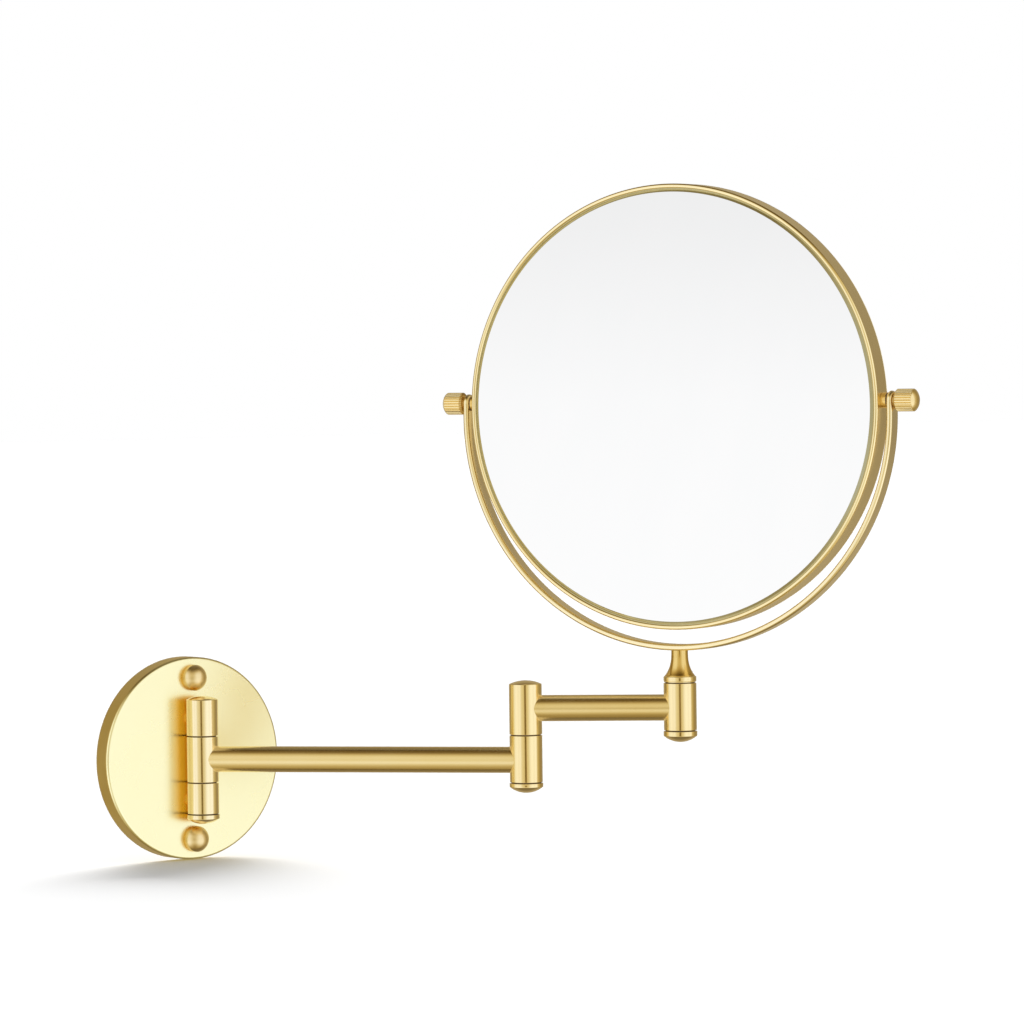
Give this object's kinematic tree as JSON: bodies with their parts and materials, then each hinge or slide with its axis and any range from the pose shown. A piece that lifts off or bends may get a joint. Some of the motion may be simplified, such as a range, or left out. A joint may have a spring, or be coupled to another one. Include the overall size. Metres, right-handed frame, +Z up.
{
  "type": "extendable shaving mirror",
  "caption": "Round two-sided shaving mirror in a tilting yoke on two swinging arms, hung from a round wall plate with hidden screws.",
  "frame": {"origin": "middle of the wall plate's back face, on the wall", "axes": "+Y into the wall, -Y out into the room, +Z up, +X to the right as seen from the room"},
  "size_m": [0.2626, 0.283, 0.3094],
  "materials": {
    "polished_gold": "polished",
    "satin_gold": "satin",
    "turned_gold": "satin",
    "zinc_steel": "satin",
    "nylon": "matt",
    "mirror_glass": "mirror",
    "foam": "matt"
  },
  "bodies": {
    "wall_base": {"wall_bracket": "zinc_steel", "bracket_studs": "zinc_steel", "wall_plate": "polished_gold", "cap_nuts": "turned_gold", "upper_wall_knuckle": "satin_gold", "lower_wall_knuckle": "satin_gold", "knuckle_screws": "zinc_steel", "wall_pivot_pin": "zinc_steel", "wall_pivot_washers": "nylon", "wall_pivot_spring_washer": "zinc_steel", "wall_pivot_nut": "zinc_steel", "wall_pivot_cap": "satin_gold"},
    "inner_arm": {"inner_arm_knuckle": "satin_gold", "inner_arm_tube": "satin_gold", "elbow_lower_knuckle": "satin_gold", "elbow_cap": "satin_gold"},
    "outer_arm": {"elbow_upper_knuckle": "satin_gold", "elbow_pin": "zinc_steel", "elbow_washer": "nylon", "elbow_spring_washer": "zinc_steel", "elbow_nut": "zinc_steel", "outer_arm_tube": "satin_gold", "head_knuckle": "satin_gold", "head_cap": "satin_gold"},
    "yoke": {"yoke_stem": "satin_gold", "swivel_pin": "zinc_steel", "swivel_washer": "nylon", "swivel_spring_washer": "zinc_steel", "swivel_nut": "zinc_steel", "stem_screw": "zinc_steel", "yoke_band": "satin_gold"},
    "mirror_head": {"mirror_frame": "satin_gold", "rear_bezel": "satin_gold", "front_glass": "mirror_glass", "rear_glass": "mirror_glass", "glass_spacer": "foam", "left_boss": "satin_gold", "right_boss": "satin_gold", "tilt_washers": "nylon"},
    "left_knob": {"left_knob": "turned_gold", "left_tilt_screw": "zinc_steel"},
    "right_knob": {"right_knob": "turned_gold", "right_tilt_screw": "zinc_steel"}
  },
  "joints": [
    {"name": "wall_swing", "type": "hinge", "parent": "wall_base", "child": "inner_arm", "pos_m": [0, -0.01725, 0], "axis": [0, 0, 1], "range_deg": [-127.6, 42.4]},
    {"name": "elbow_swing", "type": "hinge", "parent": "inner_arm", "child": "outer_arm", "pos_m": [0.10356, -0.12987, 0], "axis": [0, 0, 1], "continuous": true},
    {"name": "head_swivel", "type": "hinge", "parent": "outer_arm", "child": "yoke", "pos_m": [0.15633, -0.17738, 0], "axis": [0, 0, 1], "continuous": true},
    {"name": "head_tilt", "type": "hinge", "parent": "yoke", "child": "mirror_head", "pos_m": [0.15633, -0.17738, 0.1631], "axis": [0.4695, -0.8829, 0], "continuous": true},
    {"name": "left_knob_turn", "type": "hinge", "parent": "mirror_head", "child": "left_knob", "pos_m": [0.15633, -0.17738, 0.1631], "axis": [-0.4695, 0.8829, 0], "range_deg": [0, 270]},
    {"name": "right_knob_turn", "type": "hinge", "parent": "mirror_head", "child": "right_knob", "pos_m": [0.15633, -0.17738, 0.1631], "axis": [0.4695, -0.8829, 0], "range_deg": [0, 270]}
  ]
}
